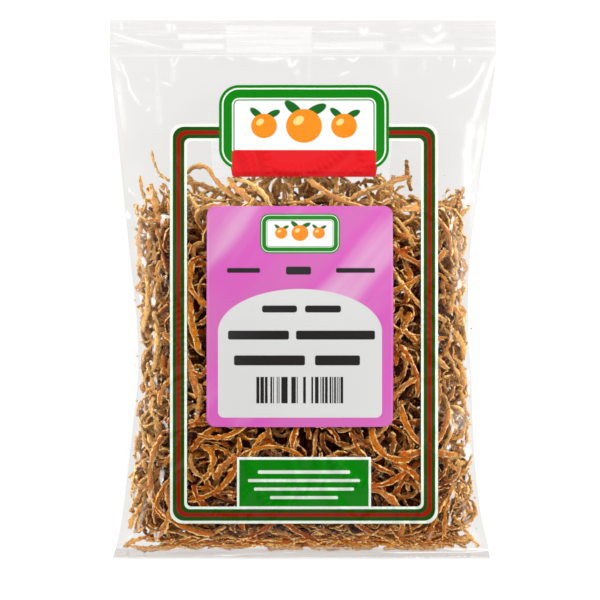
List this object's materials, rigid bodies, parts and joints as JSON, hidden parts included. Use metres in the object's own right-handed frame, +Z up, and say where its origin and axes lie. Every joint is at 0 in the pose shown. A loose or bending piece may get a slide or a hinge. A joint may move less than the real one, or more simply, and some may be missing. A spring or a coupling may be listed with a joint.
{
  "type": "bag of dried orange peel",
  "caption": "Clear sealed pillow bag filled with curly dried orange peel strips, with a printed frame and a sticker label, lying on its back.",
  "frame": {"origin": "under the middle of the bag, on the surface it rests on", "axes": "+X across the bag to the right as its front is read, +Y along it from the bottom seal to the top seal, +Z up out of its front"},
  "size_m": [0.1401, 0.1948, 0.0392],
  "materials": {
    "peel_in_film": "dried orange peel seen through clear glossy film",
    "label_paper": "satin printed sticker, pink with a pale panel"
  },
  "bodies": {
    "root": {"bag": "peel_in_film", "label": "label_paper"}
  },
  "joints": []
}
